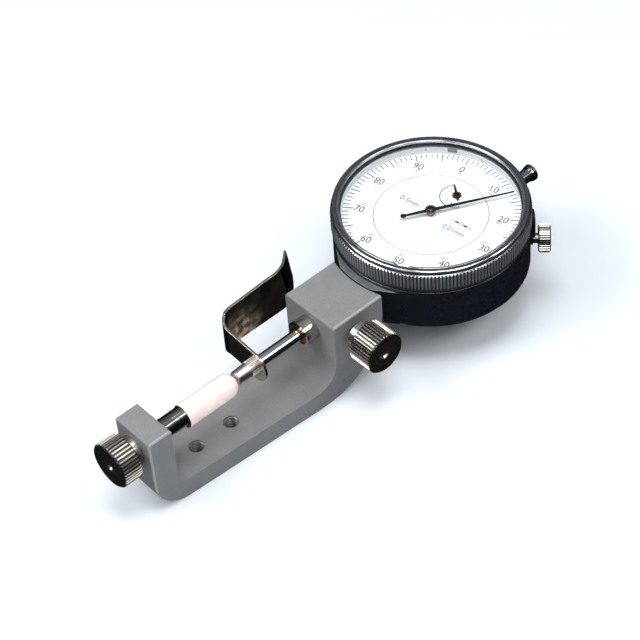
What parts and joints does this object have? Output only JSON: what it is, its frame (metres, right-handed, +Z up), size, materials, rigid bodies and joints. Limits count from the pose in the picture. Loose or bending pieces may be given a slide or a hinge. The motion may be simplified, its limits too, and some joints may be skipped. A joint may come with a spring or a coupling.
{
  "type": "thickness gauge",
  "caption": "Bench thickness gauge for capsule shells: cast U-frame with a fixed anvil rod and a clamped plunger dial indicator with lifting lever, turning bezel and revolution counter.",
  "frame": {"origin": "midway between the two base screw holes, on the frame's underside", "axes": "+X along the measuring axis from the anvil to the dial, +Z up out of the underside, +Y to the side of the lifting lever"},
  "size_m": [0.1625, 0.058, 0.0378],
  "materials": {
    "cast_frame": "satin fine-cast paint",
    "polished_rod": "polished",
    "nickel_knob": "bright nickel, serrated, with blackened ends",
    "capsule": "thin satin shell",
    "brass_part": "bright",
    "steel_stem": "fine turned",
    "bronze_bush": "satin bronze",
    "black_case": "glossy fine-textured",
    "steel_part": "satin",
    "chrome_part": "mirror",
    "lever_nickel": "mirror nickel",
    "dark_bezel": "satin anodised",
    "clear_crystal": "clear",
    "white_dial": "matt white, printed",
    "black_hand": "satin"
  },
  "bodies": {
    "mount": {"frame": "cast_frame", "stem": "steel_stem", "stem_bush_front": "bronze_bush", "stem_bush_rear": "bronze_bush", "upper_bush": "bronze_bush", "case_body": "black_case", "back_cover": "black_case", "cover_screws": "steel_part", "movement_plate": "brass_part", "gear_bridge": "brass_part", "bridge_pillars": "brass_part", "bridge_screws": "steel_part", "spring_post": "steel_part", "return_spring": "steel_part", "pin_guide": "brass_part", "hairspring": "steel_part", "hairspring_stud": "brass_part", "bezel_spring": "steel_part", "centre_disc": "white_dial"},
    "anvil": {"anvil_rod": "polished_rod"},
    "anvil_handle": {"anvil_knob": "nickel_knob"},
    "specimen": {"capsule_shell": "capsule"},
    "stem_clamp": {"clamp_screw": "steel_part", "clamp_pad": "brass_part"},
    "clamp_handle": {"clamp_knob": "nickel_knob"},
    "spindle": {"plunger": "chrome_part", "contact_point": "chrome_part", "lifting_lever": "lever_nickel", "plunger_cap": "chrome_part", "guide_pin": "steel_part"},
    "rack_wheel": {"rack_pinion": "steel_part", "rack_gear": "brass_part"},
    "pointer": {"centre_arbor": "steel_part", "pointer_collet": "chrome_part", "pointer_hub": "bronze_bush", "main_pointer": "black_hand"},
    "counter": {"counter_arbor": "steel_part", "take_up_gear": "brass_part", "counter_hub": "brass_part", "counter_hand": "black_hand"},
    "turning_bezel": {"bezel": "dark_bezel", "crystal": "clear_crystal", "crystal_ring": "dark_bezel", "scale_ring": "white_dial", "scale_clamp_ring": "steel_part"},
    "bezel_clamp": {"clamp_shoe": "black_case", "shoe_screw": "steel_part"},
    "bezel_clamp_handle": {"shoe_head": "nickel_knob"}
  },
  "joints": [
    {"name": "plunger_slide", "type": "slide", "parent": "mount", "child": "spindle", "axis": [1, 0, 0], "range_m": [0, 0.00487], "stiffness_N_per_m": 30, "springref_m": -0.03, "deforming": ["return_spring"]},
    {"name": "rack_wheel_spin", "type": "hinge", "parent": "mount", "child": "rack_wheel", "pos_m": [0.07554, 0.00299, 0.022], "axis": [0, 0, 1], "range_deg": [-1, 178]},
    {"name": "pointer_spin", "type": "hinge", "parent": "mount", "child": "pointer", "pos_m": [0.08555, 0, 0.022], "axis": [0, 0, 1], "range_deg": [-1758, 4]},
    {"name": "counter_spin", "type": "hinge", "parent": "mount", "child": "counter", "pos_m": [0.096, 0, 0.022], "axis": [0, 0, 1], "range_deg": [-1, 178]},
    {"name": "bezel_turn", "type": "hinge", "parent": "mount", "child": "turning_bezel", "pos_m": [0.08555, 0, 0.022], "axis": [0, 0, 1], "continuous": true},
    {"name": "anvil_feed", "type": "slide", "parent": "mount", "child": "anvil", "axis": [-1, 0, 0], "range_m": [0, 0.008]},
    {"name": "anvil_knob_turn", "type": "hinge", "parent": "anvil", "child": "anvil_handle", "pos_m": [-0.03, 0, 0.022], "axis": [-1, 0, 0], "range_deg": [0, 2881]},
    {"name": "specimen_spin", "type": "hinge", "parent": "anvil", "child": "specimen", "pos_m": [0, 0, 0.02149], "axis": [1, 0, 0], "continuous": true},
    {"name": "clamp_feed", "type": "slide", "parent": "mount", "child": "stem_clamp", "axis": [0, -1, 0], "range_m": [0, 0.0014]},
    {"name": "clamp_knob_turn", "type": "hinge", "parent": "stem_clamp", "child": "clamp_handle", "pos_m": [0.04525, -0.015, 0.022], "axis": [0, -1, 0], "range_deg": [0, 721]},
    {"name": "bezel_clamp_feed", "type": "slide", "parent": "mount", "child": "bezel_clamp", "axis": [0.7071, -0.7071, 0], "range_m": [0, 0.0005]},
    {"name": "bezel_clamp_turn", "type": "hinge", "parent": "bezel_clamp", "child": "bezel_clamp_handle", "pos_m": [0.08555, 0, 0.023], "axis": [0.7071, -0.7071, 0], "range_deg": [0, 361]}
  ],
  "couplings": [
    {"joint": "rack_wheel_spin", "follows": "plunger_slide", "rad_per_m": 628.32},
    {"joint": "pointer_spin", "follows": "plunger_slide", "rad_per_m": -6283.2},
    {"joint": "counter_spin", "follows": "plunger_slide", "rad_per_m": 628.32},
    {"joint": "anvil_knob_turn", "follows": "anvil_feed", "rad_per_m": 6283.2},
    {"joint": "clamp_knob_turn", "follows": "clamp_feed", "rad_per_m": 8976},
    {"joint": "bezel_clamp_turn", "follows": "bezel_clamp_feed", "rad_per_m": 12566}
  ]
}
